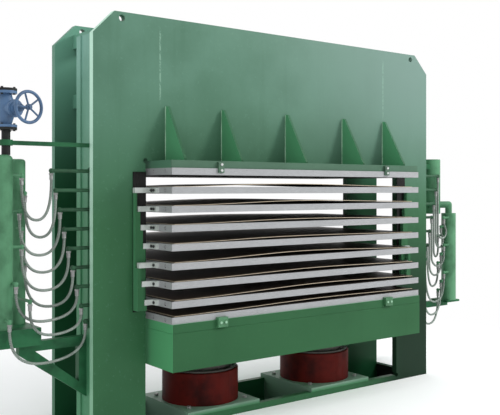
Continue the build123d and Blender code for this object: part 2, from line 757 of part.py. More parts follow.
with BuildPart() as handwheel:
    stem_from = BONNET_L + GLAND_NUT_L + 1
    with BuildSketch(Plane(origin=VALVE_POINT + STEM_DIR * stem_from, z_dir=STEM_DIR)):
        Circle(STEM_D / 2)
    extrude(amount=WHEEL_OUT - stem_from + STEM_BEYOND)
    wheel_plane = Plane(origin=VALVE_POINT + STEM_DIR * WHEEL_OUT, z_dir=STEM_DIR)
    with Locations(wheel_plane):
        Torus(WHEEL_R - WHEEL_TUBE, WHEEL_TUBE)
        Cylinder(HUB_D / 2, HUB_L)
        with PolarLocations(0, SPOKES):
            with Locations(Location((WHEEL_R / 2, 0, 0), (0, 90, 0))):
                Cylinder(SPOKE_D / 2, WHEEL_R - 2 * WHEEL_TUBE)
keep(handwheel, "handwheel")

# Bracket: arm, strut and platform under the left headers
with BuildPart() as bracket:
    with BuildSketch(Plane.XZ.offset(-BRACKET_Y - BRACKET_T / 2)):
        with BuildLine():
            Polyline(
                (-WEB_X, BRACKET_TOP),
                (BRACKET_END, BRACKET_TOP),
                (BRACKET_END, BRACKET_TOP - BRACKET_END_H),
                (-WEB_X, BRACKET_FOOT),
                close=True,
            )
        make_face()
        with BuildLine():
            Polyline(
                (-WEB_X - BRACKET_BOX, BRACKET_TOP - BRACKET_ARM),
                (BRACKET_END + 2 * BRACKET_BOX, BRACKET_TOP - BRACKET_ARM),
                (-WEB_X - BRACKET_BOX, BRACKET_FOOT + 2 * BRACKET_BOX),
                close=True,
            )
        make_face(mode=Mode.SUBTRACT)
    extrude(amount=BRACKET_T)
    with BuildSketch(Plane.XY.offset(BRACKET_TOP)):
        with Locations(
            ((PLATFORM_LEFT + PLATFORM_RIGHT) / 2, (PLATFORM_FRONT + PLATFORM_BACK) / 2)
        ):
            Rectangle(PLATFORM_RIGHT - PLATFORM_LEFT, PLATFORM_BACK - PLATFORM_FRONT)
    extrude(amount=HEADER_LOW - BRACKET_TOP)
    with BuildSketch(Plane.YZ.offset(PLATFORM_LEFT)):
        with Locations(
            ((PLATFORM_FRONT + PLATFORM_BACK) / 2, (BRACKET_TOP + HEADER_LOW) / 2)
        ):
            Rectangle(
                PLATFORM_BACK - PLATFORM_FRONT - 2 * PLATFORM_WALL,
                HEADER_LOW - BRACKET_TOP - 2 * PLATFORM_WALL,
            )
    extrude(amount=PLATFORM_RIGHT - PLATFORM_LEFT, mode=Mode.SUBTRACT)
keep(bracket, "header_bracket")

with BuildPart() as tie_bar:
    with Locations(((-WEB_X + VALVE_X) / 2, HEADER_Y, TIE_BAR_Z)):
        Box(-WEB_X - VALVE_X, TIE_BAR_S, TIE_BAR_S)
    with Locations((VALVE_X, HEADER_Y, TIE_BAR_Z)):
        Cylinder(COLLAR_D / 2, TIE_BAR_S + 10)
        Cylinder(RISER_D / 2, TIE_BAR_S + 20, mode=Mode.SUBTRACT)
keep(tie_bar, "tie_bar")

# Right headers and their arms
with BuildPart() as right_header:
    with Locations((RIGHT_X, RIGHT_Y, RIGHT_LOW)):
        Cylinder(
            RIGHT_D / 2, RIGHT_HIGH - RIGHT_LOW, align=(Align.CENTER, Align.CENTER, Align.MIN)
        )
    for tap in right_taps:
        tap_fitting(tap, (RIGHT_X, tap[1], tap[2]))
    with Locations((RIGHT_X, RIGHT_Y, RIGHT_HIGH)):
        Cylinder(LINK_D / 2, LINK_H, align=(Align.CENTER, Align.CENTER, Align.MIN))
    with Locations((RIGHT_X, RIGHT_Y, RIGHT_HIGH + LINK_H)):
        Sphere(LINK_D / 2)
    link_start = Vector(RIGHT_X, RIGHT_Y, RIGHT_HIGH + LINK_H)
    link_end = Vector(UPPER_X, UPPER_Y, RIGHT_HIGH + LINK_H)
    with BuildSketch(Plane(origin=link_start, z_dir=(link_end - link_start).normalized())):
        Circle(LINK_D / 2)
    extrude(amount=(link_end - link_start).length)
    with Locations((UPPER_X, UPPER_Y, UPPER_LOW)):
        Cylinder(
            UPPER_D / 2, UPPER_HIGH - UPPER_LOW, align=(Align.CENTER, Align.CENTER, Align.MIN)
        )
keep(right_header, "right_header")

with BuildPart() as right_bracket:
    for arm_z in (UPPER_LOW + ARM_FROM_LOW, UPPER_HIGH - ARM_FROM_HIGH):
        with Locations(((WEB_X + UPPER_X) / 2, ARM_Y, arm_z)):
            Box(UPPER_X - WEB_X, ARM_S, ARM_S)
    with Locations((UPPER_X, UPPER_Y, (UPPER_LOW + UPPER_HIGH) / 2)):
        Cylinder(UPPER_D / 2, UPPER_HIGH - UPPER_LOW, mode=Mode.SUBTRACT)
    arm_end = RIGHT_X + SHELF_L / 2
    with Locations(
        (
            (WEB_X + WEB_STRIP_T + arm_end) / 2,
            SHELF_ARM_Y,
            RIGHT_LOW - SHELF_T - SHELF_ARM_S / 2,
        )
    ):
        Box(arm_end - WEB_X - WEB_STRIP_T, SHELF_ARM_S, SHELF_ARM_S)
    with Locations((RIGHT_X, (RIGHT_Y + SHELF_ARM_Y) / 2 - 15, RIGHT_LOW - SHELF_T / 2)):
        Box(SHELF_L, SHELF_W, SHELF_T)
keep(right_bracket, "right_bracket")


# Hoses: each hangs in a loop from its ferrule and rises to its header
def hose(start, end, bottom, note):
    corner_a = (start[0], start[1], bottom)
    corner_b = (end[0], end[1], bottom)
    span = math.dist(corner_a, corner_b)
    radius = 0.45 * min(span, start[2] - bottom, end[2] - bottom)
    with BuildLine() as route:
        FilletPolyline(start, corner_a, corner_b, end, radius=radius)
    with BuildSketch(Plane(origin=start, z_dir=(0, 0, -1))) as section:
        Circle(HOSE_D / 2)
    sweep(sections=section.sketch, path=route.wires()[0])
    length = route.wires()[0].length
    print(f"{note}: radius {radius:.0f}, length {length:.0f}")
    return length


with BuildPart() as hoses_left:
    for k, z in enumerate(pipe_levels):
        tap = left_taps[k]
        hose(
            (-left_ends[k], PIPE_Y, z - FERRULE_L),
            (tap[0], tap[1], tap[2] - FERRULE_L),
            LOOP_LOW[k],
            f"left hose {k}",
        )
keep(hoses_left, "hoses_left")

with BuildPart() as hoses_right:
    for k, z in enumerate(pipe_levels):
        tap = right_taps[k]
        low_end = min(z, tap[2]) - FERRULE_L
        hose(
            (right_ends[k], PIPE_Y, z - FERRULE_L),
            (tap[0], tap[1], tap[2] - FERRULE_L),
            low_end - RIGHT_LOOP_DROP,
            f"right hose {k}",
        )
keep(hoses_right, "hoses_right")

for node, volume in made:
    print(f"{node}: {volume / 1e9:.4f} m3")
print(f"{len(made)} nodes, {sum(v for _, v in made) / 1e9:.3f} m3 in all")
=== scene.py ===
"""Hot press in its pit: looks, hoses, floor, light and camera. Metres, in the CAD frame."""
import math

import bpy
from mathutils import Matrix, Vector


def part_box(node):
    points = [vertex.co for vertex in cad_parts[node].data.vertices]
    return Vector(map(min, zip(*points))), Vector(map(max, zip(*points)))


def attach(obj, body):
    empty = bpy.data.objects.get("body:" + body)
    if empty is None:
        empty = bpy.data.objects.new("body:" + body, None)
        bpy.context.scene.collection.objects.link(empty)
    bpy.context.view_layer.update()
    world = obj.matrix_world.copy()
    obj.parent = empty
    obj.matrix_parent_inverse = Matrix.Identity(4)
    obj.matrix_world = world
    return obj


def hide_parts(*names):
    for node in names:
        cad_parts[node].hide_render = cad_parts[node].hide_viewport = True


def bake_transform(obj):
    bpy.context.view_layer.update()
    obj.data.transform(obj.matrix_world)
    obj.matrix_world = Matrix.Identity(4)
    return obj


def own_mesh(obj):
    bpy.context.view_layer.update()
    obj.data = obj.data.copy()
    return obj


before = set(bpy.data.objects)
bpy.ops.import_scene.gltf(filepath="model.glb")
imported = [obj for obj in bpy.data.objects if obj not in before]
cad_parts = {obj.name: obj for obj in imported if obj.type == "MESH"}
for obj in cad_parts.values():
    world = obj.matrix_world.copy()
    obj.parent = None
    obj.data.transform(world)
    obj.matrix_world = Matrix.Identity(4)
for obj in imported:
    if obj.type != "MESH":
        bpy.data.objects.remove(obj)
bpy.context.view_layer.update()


bpy.ops.object.select_all(action="DESELECT")


def new_object(name, data):
    """An object in the scene that holds the data."""
    made = bpy.data.objects.new(name, data)
    bpy.context.scene.collection.objects.link(made)
    return made


# Places that the scene takes from the press
FLOOR_Z = 1.035
FRAME_LOW, FRAME_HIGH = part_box("frame_front")
FRAME_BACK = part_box("frame_rear")[1]

# Camera, at the photograph's viewing angle
CAMERA_PLACE = (-4.4093, -5.6815, FLOOR_Z + 1.863)
CAMERA_TURN = -37.083
CAMERA_LENS, CAMERA_SENSOR = 57.195, 36
CAMERA_SHIFT = -0.0379
CAMERA_REACH = 200


def place_camera():
    data = bpy.data.cameras.new("view")
    camera = new_object("view", data)
    camera.location = CAMERA_PLACE
    camera.rotation_euler = (math.radians(90), 0, math.radians(CAMERA_TURN))
    data.sensor_width = CAMERA_SENSOR
    data.lens = CAMERA_LENS
    data.shift_y = CAMERA_SHIFT
    data.clip_end = CAMERA_REACH
    bpy.context.scene.camera = camera


place_camera()

# Levels of the platens, and where their hoses start
MOVING_PLATENS = 7
PLATEN_PITCH = 0.141
TOP_PLATEN_Z = 3.026
TABLE_DROP = 0.117
TABLE_PLATEN_Z = TOP_PLATEN_Z - PLATEN_PITCH * MOVING_PLATENS - TABLE_DROP
PIPE_Y = -0.287
FERRULE_L = 0.064
HOSE_D = 0.020
LEFT_END, RIGHT_END = 2.115, 2.109
END_STEP = 0.033

# Taps of the left headers: even hoses meet the supply header, odd ones the return header
HEADER_Y = -0.298
RETURN_X, RETURN_TAP_Y = -2.300, -0.228
TAP_X, FRONT_TAP_X, FRONT_TAP_Y = -2.345, -2.450, -0.430
TAP_LANE = 0.020
FRONT_LANES = 1.5
TAP_STEP = 0.247
SUPPLY_TAP_Z = FLOOR_Z + 1.953
RETURN_TAP_Z = FLOOR_Z + 1.830
LOW_TAPS = 6
LOOP_LOW = [
    FLOOR_Z + z for z in (1.640, 1.515, 1.390, 1.265, 1.140, 1.015, 0.930, 0.830, 0.640)
]

# Taps of the right header, and how far below its lower end each right hose hangs.
# The lowest levels travel furthest, so their hoses hang lower.
RIGHT_TAP_X, RIGHT_TAP_Y = 2.200, -0.250
RIGHT_LANE = 0.040
RIGHT_TAP_Z = FLOOR_Z + 1.560
RIGHT_TAP_STEP = 0.095
RIGHT_LOOP_DROP = [0.150] * 5 + [0.170, 0.230, 0.270, 0.270]

# Round foot of a narrow loop: half an octagon that guides the curve
NARROW_LOOP = 0.230
LEAST_BEND_R = 0.080
HEADER_ROOM = 0.038
OCTAGON = math.tan(math.radians(22.5))
FOOT_NEAR, FOOT_FAR = 0.3, 0.7

levels = [TOP_PLATEN_Z - PLATEN_PITCH * k for k in range(MOVING_PLATENS + 1)] + [TABLE_PLATEN_Z]
level_bodies = ["root"] + [f"level_{k}" for k in range(1, MOVING_PLATENS + 1)] + ["table"]
left_ends = [-(LEFT_END - END_STEP * k) for k in range(len(levels))]
right_ends = [RIGHT_END - END_STEP * k for k in range(len(levels))]


def left_tap(k):
    """Where the left hose k meets its header's elbow."""
    pair = k // 2
    lane = TAP_LANE if pair % 2 else -TAP_LANE
    if k % 2 == 0:
        z = SUPPLY_TAP_Z - TAP_STEP * pair
        if k < LOW_TAPS:
            return (TAP_X, HEADER_Y + lane, z)
        return (FRONT_TAP_X + FRONT_LANES * lane, FRONT_TAP_Y + lane, z)
    z = RETURN_TAP_Z - TAP_STEP * pair
    if k < LOW_TAPS:
        return (RETURN_X - lane, RETURN_TAP_Y - lane, z)
    return (RETURN_X - FRONT_LANES * TAP_LANE, FRONT_TAP_Y, z)


def right_tap(k):
    """Where the right hose k meets the right header's elbow, in one of three lanes."""
    return (RIGHT_TAP_X, RIGHT_TAP_Y + RIGHT_LANE * (k % 3 - 1), RIGHT_TAP_Z - RIGHT_TAP_STEP * k)


left_taps = [left_tap(k) for k in range(len(levels))]
right_taps = [right_tap(k) for k in range(len(levels))]


def curve_mesh(line):
    """The mesh that the curve makes as it is now."""
    bpy.context.view_layer.update()
    evaluated = line.evaluated_get(bpy.context.evaluated_depsgraph_get())
    return bpy.data.meshes.new_from_object(evaluated)


def hose(name, points, body):
    """A braided hose along one smooth line through the route's points."""
    curve = bpy.data.curves.new(name + "_line", "CURVE")
    curve.dimensions = "3D"
    spline = curve.splines.new("NURBS")
    spline.points.add(len(points) - 1)
    for point, place in zip(spline.points, points):
        point.co = (*place, 1)
    spline.order_u = 3
    spline.use_endpoint_u = True
    spline.resolution_u = 14
    line = new_object(name + "_line", curve)
    path = [tuple(v.co) for v in curve_mesh(line).vertices]
    curve.bevel_depth = HOSE_D / 2
    curve.bevel_resolution = 4
    curve.use_fill_caps = True
    tube_mesh = curve_mesh(line)
    tube_mesh.name = name
    tube = new_object(name, tube_mesh)
    bpy.data.objects.remove(line)
    for polygon in tube_mesh.polygons:
        polygon.use_smooth = True
    if body == "root":
        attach(tube, "root")
    else:
        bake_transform(tube)
    return tube


def hose_route(start, end, low):
    """Down from one ferrule and up into the other; a narrow loop gets a round foot."""
    width = end[0] - start[0]
    if not 0 < width < NARROW_LOOP:
        return [start, (start[0], start[1], low), (end[0], end[1], low), end]
    flare = min(HEADER_ROOM, max(0.0, 2 * LEAST_BEND_R - width))
    radius = (width + flare) / 2
    far_x = end[0] + flare
    centre = low + radius
    side = radius * (1 - OCTAGON)
    upper, lower = centre + radius * OCTAGON, centre - radius * OCTAGON
    shift_y = end[1] - start[1]
    return [
        start,
        (start[0], start[1], upper), (start[0], start[1], lower),
        (start[0] + side, start[1] + shift_y * FOOT_NEAR, low),
        (far_x - side, start[1] + shift_y * FOOT_FAR, low),
        (far_x, end[1], lower), (far_x, end[1], upper),
        end,
    ]


def make_hoses():
    """Both rows of hoses, a left and a right one for each level."""
    made = []
    for k, z in enumerate(levels):
        right_low = min(z, right_taps[k][2]) - FERRULE_L - RIGHT_LOOP_DROP[k]
        for side_name, end_x, tap, low in (
            ("left", left_ends[k], left_taps[k], LOOP_LOW[k]),
            ("right", right_ends[k], right_taps[k], right_low),
        ):
            start, end = (end_x, PIPE_Y, z - FERRULE_L), (tap[0], tap[1], tap[2] - FERRULE_L)
            piece = hose(f"hose_{side_name}_{k}", hose_route(start, end, low), level_bodies[k])
            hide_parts(f"hoses_{side_name}")
            made.append(piece)
    return made


hoses = make_hoses()

# Caul sheets, one on each level below the top
DOUBLES = 0.00001


def caul_sheet(k):
    """The sheet that lies on level k, its doubles merged, riding on that level."""
    caul = new_object(f"caul_{k}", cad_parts[f"sheet_{k}"].data.copy())
    bpy.ops.object.select_all(action="DESELECT")
    caul.select_set(True)
    bpy.context.view_layer.objects.active = caul
    bpy.ops.object.mode_set(mode="EDIT")
    bpy.ops.mesh.select_all(action="SELECT")
    bpy.ops.mesh.remove_doubles(threshold=DOUBLES)
    bpy.ops.mesh.normals_make_consistent(inside=False)
    bpy.ops.object.mode_set(mode="OBJECT")
    on_table = k > MOVING_PLATENS
    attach(caul, "table" if on_table else f"level_{k}")
    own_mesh(caul)
    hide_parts(f"sheet_{k}")
    return caul


cauls = [caul_sheet(k) for k in range(1, MOVING_PLATENS + 2)]


# Turned fittings: rings of a profile drawn up one after the other
SMOOTH_ANGLE = 35


def turned(name, rings, sides):
    """A closed solid about Z through rings of (radius, height)."""
    bpy.ops.object.select_all(action="DESELECT")
    radius, height = rings[0]
    bpy.ops.mesh.primitive_circle_add(
        vertices=sides, radius=radius, fill_type="NGON", location=(0, 0, height)
    )
    piece = bpy.context.object
    piece.name = name
    bpy.ops.object.transform_apply(location=True, rotation=False, scale=False)
    bpy.ops.object.mode_set(mode="EDIT")
    bpy.ops.mesh.select_all(action="SELECT")
    for last, ring in zip(rings, rings[1:]):
        bpy.ops.mesh.extrude_region_move(
            TRANSFORM_OT_translate={"value": (0, 0, ring[1] - last[1])}
        )
        ratio = ring[0] / last[0]
        bpy.ops.transform.resize(value=(ratio, ratio, 1), center_override=(0, 0, ring[1]))
    bpy.ops.mesh.select_all(action="SELECT")
    bpy.ops.mesh.normals_make_consistent(inside=False)
    bpy.ops.object.mode_set(mode="OBJECT")
    return piece


def set_out(name, models, places, body):
    """Copies of the models at every place, joined into one piece that rides on the body."""
    bpy.ops.object.select_all(action="DESELECT")
    for model in models:
        for place in places:
            twin = new_object(name, model.data.copy())
            twin.matrix_world = place
            twin.select_set(True)
            bpy.context.view_layer.objects.active = twin
    bpy.ops.object.join()
    joined = bpy.context.object
    bpy.ops.object.transform_apply(location=True, rotation=True, scale=True)
    joined.name = name
    bpy.ops.object.shade_smooth_by_angle(angle=math.radians(SMOOTH_ANGLE))
    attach(joined, body)
    return joined


# A crimped sleeve with three grooves over the hose's end, and the nut above it
CRIMP_R, CRIMP_END_R, GROOVE_R = 0.0139, 0.0120, 0.0133
GROOVE_PLACES = (-0.056, -0.048, -0.040)
GROOVE_LIP, GROOVE_FLOOR = 0.0020, 0.0010
CRIMP_RINGS = [(CRIMP_END_R, -0.0655), (CRIMP_R, -0.0640)]
for middle in GROOVE_PLACES:
    CRIMP_RINGS += [(CRIMP_R, middle - GROOVE_LIP), (GROOVE_R, middle - GROOVE_FLOOR)]
    CRIMP_RINGS += [(GROOVE_R, middle + GROOVE_FLOOR), (CRIMP_R, middle + GROOVE_LIP)]
CRIMP_RINGS += [(CRIMP_R, -0.0310), (CRIMP_END_R, -0.0300)]
NUT_R, NUT_EDGE_R = 0.0172, 0.0150
NUT_RINGS = [(NUT_EDGE_R, -0.0305), (NUT_R, -0.0290), (NUT_R, -0.0190), (NUT_EDGE_R, -0.0175)]


def make_fittings():
    """Crimps and nuts where the hoses end, one piece a level; the top one has the headers' too."""
    crimp = turned("crimp", CRIMP_RINGS, sides=20)
    nut = turned("nut", NUT_RINGS, sides=6)
    made = []
    for k, z in enumerate(levels):
        spots = [(left_ends[k], PIPE_Y, z), (right_ends[k], PIPE_Y, z)]
        if k == 0:
            spots += left_taps + right_taps
        places = [Matrix.Translation(spot) for spot in spots]
        made.append(set_out(f"hose_fittings_{k}", [crimp, nut], places, level_bodies[k]))
    bpy.data.objects.remove(crimp)
    bpy.data.objects.remove(nut)
    return made


fittings = make_fittings()

# Weld seams where the gussets meet the plates
SEAM_R = 0.006
SEAM_WAIST, SEAM_TIP = 0.88, 0.6
SEAM_STEPS = 34
GUSSET_T = 0.022
GUSSET_XS = (-1.205, -0.675, 0.0, 0.675, 1.205)
GUSSET_LOW, GUSSET_TOP = 3.110, 3.535
FACE_Y = 0.370


def make_seams():
    """A rippled bead up both sides of every gusset, front and rear."""
    rise = GUSSET_TOP - GUSSET_LOW
    rings = [(SEAM_R * SEAM_TIP, GUSSET_LOW)]
    for step in range(SEAM_STEPS + 1):
        swell = 1.0 if step % 2 else SEAM_WAIST
        rings.append((SEAM_R * swell, GUSSET_LOW + rise * (step + 0.5) / (SEAM_STEPS + 1)))
    rings.append((SEAM_R * SEAM_TIP, GUSSET_TOP))
    seam = turned("seam", rings, sides=10)
    places = [
        Matrix.Translation((x + side * GUSSET_T / 2, face * FACE_Y, 0))
        for x in GUSSET_XS
        for side in (-1, 1)
        for face in (-1, 1)
    ]
    made = set_out("gusset_seams", [seam], places, "root")
    bpy.data.objects.remove(seam)
    return made


seams = make_seams()


# Shared effects for the materials
def new_group(name, inputs, outputs):
    group = bpy.data.node_groups.new(name, "ShaderNodeTree")
    for title, kind, value in inputs:
        socket = group.interface.new_socket(name=title, in_out="INPUT", socket_type=kind)
        socket.default_value = value
    for title, kind in outputs:
        group.interface.new_socket(name=title, in_out="OUTPUT", socket_type=kind)
    return group, group.nodes.new("NodeGroupInput"), group.nodes.new("NodeGroupOutput")


def object_place(tree):
    return tree.nodes.new("ShaderNodeTexCoord").outputs["Object"]


def split_axes(tree, vector):
    split = tree.nodes.new("ShaderNodeSeparateXYZ")
    tree.links.new(vector, split.inputs[0])
    return split.outputs


def stretched(tree, place, scale):
    mapping = tree.nodes.new("ShaderNodeMapping")
    mapping.inputs["Scale"].default_value = scale
    tree.links.new(place, mapping.inputs["Vector"])
    return mapping.outputs["Vector"]


def noise_node(tree, place, scale, detail=4.0, rough=0.55, stretch=None):
    """Noise on Object coordinates, stretched where a finish has a direction."""
    noise = tree.nodes.new("ShaderNodeTexNoise")
    noise.inputs["Detail"].default_value = detail
    noise.inputs["Roughness"].default_value = rough
    if isinstance(scale, (int, float)):
        noise.inputs["Scale"].default_value = scale
    else:
        tree.links.new(scale, noise.inputs["Scale"])
    if stretch:
        place = stretched(tree, place, stretch)
    tree.links.new(place, noise.inputs["Vector"])
    return noise.outputs["Fac"]


def ramp_node(tree, value, low, high):
    """Value from 0 at low to 1 at high."""
    step = tree.nodes.new("ShaderNodeMapRange")
    step.interpolation_type = "SMOOTHSTEP"
    step.inputs["From Min"].default_value = low
    step.inputs["From Max"].default_value = high
    tree.links.new(value, step.inputs["Value"])
    return step.outputs["Result"]


def mix_node(tree, factor, a, b):
    """Colour a where the factor is 0, and b where it is 1."""
    mix = tree.nodes.new("ShaderNodeMix")
    mix.data_type = "RGBA"
    for title, kind, value in (("Factor", "VALUE", factor), ("A", "RGBA", a), ("B", "RGBA", b)):
        socket = next(s for s in mix.inputs if s.name == title and s.type == kind)
        if isinstance(value, bpy.types.NodeSocket):
            tree.links.new(value, socket)
        else:
            socket.default_value = (*value, 1)
    return next(s for s in mix.outputs if s.type == "RGBA")


def math_node(tree, operation, a, b=0.0):
    node = tree.nodes.new("ShaderNodeMath")
    node.operation = operation
    for socket, value in zip(node.inputs, (a, b)):
        if isinstance(value, bpy.types.NodeSocket):
            tree.links.new(value, socket)
        else:
            socket.default_value = value
    return node.outputs[0]


def times(tree, a, b):
    return math_node(tree, "MULTIPLY", a, b)


def absolute(tree, value):
    return math_node(tree, "ABSOLUTE", value)


def workshop_grime():
    """Broad stains, fine specks and vertical runs, as three masks."""
    group, entry, leave = new_group(
        "workshop_grime",
        [("Scale", "NodeSocketFloat", 1.0)],
        [("Stains", "NodeSocketFloat"), ("Specks", "NodeSocketFloat"), ("Runs", "NodeSocketFloat")],
    )
    place = object_place(group)
    for title, scale, detail, stretch, (low, high) in (
        ("Stains", 1.7, 5.0, None, (0.38, 0.72)),
        ("Specks", 42.0, 3.0, None, (0.60, 0.74)),
        ("Runs", 9.0, 3.0, (1, 1, 0.07), (0.52, 0.78)),
    ):
        size = times(group, entry.outputs["Scale"], scale)
        noise = noise_node(group, place, size, detail, stretch=stretch)
        group.links.new(ramp_node(group, noise, low, high), leave.inputs[title])
    return group


GRIME = workshop_grime()


def material(name):
    """A new material, its tree, its shader and the Object coordinates in it."""
    made = bpy.data.materials.new(name)
    made.use_nodes = True
    tree = made.node_tree
    return made, tree, tree.nodes["Principled BSDF"], object_place(tree)


def add_grime(tree, scale):
    node = tree.nodes.new("ShaderNodeGroup")
    node.node_tree = GRIME
    node.inputs["Scale"].default_value = scale
    return node.outputs


def add_bump(tree, shader, height, strength, distance):
    bump = tree.nodes.new("ShaderNodeBump")
    bump.inputs["Strength"].default_value = strength
    bump.inputs["Distance"].default_value = distance
    tree.links.new(height, bump.inputs["Height"])
    tree.links.new(bump.outputs["Normal"], shader.inputs["Normal"])


def set_rough(tree, shader, mask, share, rough):
    """Roughness that rises by the share where the mask is full."""
    spread = math_node(tree, "ADD", times(tree, mask, share), rough)
    tree.links.new(spread, shader.inputs["Roughness"])


def facing(tree, axis, low, high):
    """A mask of the faces whose normal lies along the axis, or doesn't where low is above high."""
    normal = tree.nodes.new("ShaderNodeNewGeometry").outputs["Normal"]
    return ramp_node(tree, absolute(tree, split_axes(tree, normal)[axis]), low, high)


# Colours
# The frame greens hold painted light and shade: paler towards the top, palest at the top right,
# darkest at the low right
FRAME_LOW_GREEN = (0.033, 0.119, 0.051)
FRAME_HIGH_GREEN = (0.095, 0.203, 0.143)
FRAME_LIT_TOP_RIGHT = (0.150, 0.237, 0.202)
FRAME_SHADE_LOW_RIGHT = (0.006, 0.024, 0.011)
WELD_GREEN = (0.230, 0.380, 0.290)
# Painted shade inside the frame, dark below and lighter towards the top
INSIDE_SHADE_GREEN = (0.010, 0.072, 0.027)
INSIDE_LIT_GREEN = (0.140, 0.330, 0.240)
LADDER_GREEN = (0.033, 0.125, 0.052)
# Painted highlight of glare on the sill plates' top and side faces
SILL_GLARE_GREEN = (0.200, 0.320, 0.240)
BOLT_BLACK = (0.008, 0.008, 0.009)
BOLT_STEEL = (0.52, 0.54, 0.52)
BOLT_GREEN = (0.25, 0.45, 0.30)
LUG_FINISH = ((0.560, 0.600, 0.570), (0.330, 0.365, 0.335))
TOP_DOG_FINISH = ((0.060, 0.130, 0.080), (0.020, 0.050, 0.030))
TABLE_DOG_FINISH = ((0.060, 0.200, 0.090), (0.030, 0.110, 0.045))
WIRE_GREY, WIRE_GAP = (0.50, 0.57, 0.51), (0.12, 0.15, 0.13)
WIRE_DIRT = (0.045, 0.055, 0.050)

# Green machine paint: how strongly grime shows in it, its sheen, and the painted highlight on its
# side faces
STAIN_SHARE, RUN_SHARE, SPECK_SHARE = 0.30, 0.16, 0.12
PAINT_ROUGH, PAINT_SHINE = 0.40, 0.13
TURNED_AWAY = (0.75, 0.35)
HIGHLIGHT_SHARE = 0.85

# Rows of weld marks in the crown: distance from the middle, half width, lower and upper ends
ROW_X, ROW_SHIFT = 1.234, 0.030
ROW_HALF_W = (0.011, 0.003)
ROW_FOOT, ROW_TOP = (3.54, 3.62), (4.14, 4.08)
ROW_SHARE = 0.60

# Where the painted light and shade on the big plates change, along X and up Z
PALE_UP = (2.45, 3.95)
TOP_RIGHT_X, TOP_RIGHT_UP = (-0.9, 1.9), (2.5, 4.1)
LOW_RIGHT_X, LOW_RIGHT_DOWN = (0.9, 1.5), (2.85, 1.65)
RIM_X, RIM_UP = (1.60, 1.68), (1.0, 3.9)
INSIDE_UP = (2.75, 4.05)
REAR_INNER_Y = 0.314
INNER_FACE = (REAR_INNER_Y + 0.006, REAR_INNER_Y + 0.002)


def paint_layers(tree, place, low, high, heights):
    """Paint that pales from the low height to the high one as painted light from above, under
    stains, runs and specks.
    """
    axes = split_axes(tree, place)
    masks = add_grime(tree, 1.0)
    darker = tuple(c * 0.62 for c in low)
    paler = tuple(min(1, c * 1.5 + 0.02) for c in high)
    colour = mix_node(tree, ramp_node(tree, axes["Z"], *heights), low, high)
    for mask, share, tint in (
        ("Stains", STAIN_SHARE, darker), ("Runs", RUN_SHARE, darker), ("Specks", SPECK_SHARE, paler)
    ):
        colour = mix_node(tree, times(tree, masks[mask], share), colour, tint)
    return colour, axes, masks


def finish_paint(tree, shader, place, colour, masks):
    tree.links.new(colour, shader.inputs["Base Color"])
    set_rough(tree, shader, masks["Stains"], share=0.14, rough=PAINT_ROUGH)
    shader.inputs["Specular IOR Level"].default_value = PAINT_SHINE
    orange_peel = noise_node(tree, place, 160.0, detail=2.0)
    add_bump(tree, shader, orange_peel, strength=0.10, distance=0.0008)


def plug_welds(tree, place, axes):
    """Two upright rows of weld marks in the crown, over the stiffeners inside."""
    shifted = math_node(tree, "ADD", axes["X"], ROW_SHIFT)
    off = math_node(tree, "SUBTRACT", absolute(tree, shifted), ROW_X)
    line = ramp_node(tree, absolute(tree, off), *ROW_HALF_W)
    foot, top = (ramp_node(tree, axes["Z"], *end) for end in (ROW_FOOT, ROW_TOP))
    beads = ramp_node(tree, noise_node(tree, place, 48.0, detail=2.0), 0.36, 0.56)
    return times(tree, times(tree, line, times(tree, foot, top)), beads)


def frame_paint(name, highlight_low, highlight_high, inner_shade=None):
    """The big plates, with painted light and shade: palest at the top right, darkest at the foot of
    the front's right column.
    """
    made, tree, shader, place = material(name)
    colour, axes, masks = paint_layers(tree, place, FRAME_LOW_GREEN, FRAME_HIGH_GREEN, PALE_UP)
    # Painted light: paler towards the top right
    right, up = ramp_node(tree, axes["X"], *TOP_RIGHT_X), ramp_node(tree, axes["Z"], *TOP_RIGHT_UP)
    colour = mix_node(tree, times(tree, right, up), colour, FRAME_LIT_TOP_RIGHT)
    # Painted shade: darkest at the foot of the front plate's right column
    far_right = ramp_node(tree, axes["X"], *LOW_RIGHT_X)
    down = ramp_node(tree, axes["Z"], *LOW_RIGHT_DOWN)
    in_front = math_node(tree, "LESS_THAN", axes["Y"], 0.0)
    low_right_shade = times(tree, times(tree, far_right, down), in_front)
    colour = mix_node(tree, low_right_shade, colour, FRAME_SHADE_LOW_RIGHT)
    welds = times(tree, plug_welds(tree, place, axes), ROW_SHARE)
    colour = mix_node(tree, welds, colour, WELD_GREEN)
    # Painted highlight on the outer side faces, paler towards the top
    outer = ramp_node(tree, absolute(tree, axes["X"]), *RIM_X)
    lit_rim = times(tree, facing(tree, "Y", *TURNED_AWAY), outer)
    side_highlight = mix_node(tree, ramp_node(tree, axes["Z"], *RIM_UP), highlight_low, highlight_high)
    colour = mix_node(tree, times(tree, lit_rim, HIGHLIGHT_SHARE), colour, side_highlight)
    # Painted shade on the rear plate's inner face, lighter towards the top
    if inner_shade is not None:
        shade = mix_node(tree, ramp_node(tree, axes["Z"], *INSIDE_UP), *inner_shade)
        colour = mix_node(tree, ramp_node(tree, axes["Y"], *INNER_FACE), colour, shade)
    finish_paint(tree, shader, place, colour, masks)
    return made


def green_paint(name, low, high, side_highlight=None, heights=(1.0, 4.2)):
    """Machine paint on the smaller welded pieces; the side highlight colour is a painted highlight
    on the side faces.
    """
    made, tree, shader, place = material(name)
    colour, _, masks = paint_layers(tree, place, low, high, heights)
    if side_highlight is not None:
        side = times(tree, facing(tree, "Y", *TURNED_AWAY), HIGHLIGHT_SHARE)
        colour = mix_node(tree, side, colour, side_highlight)
    finish_paint(tree, shader, place, colour, masks)
    return made


OIL_BROWN = (0.03, 0.025, 0.02)
LYING_FLAT = (0.6, 0.8)


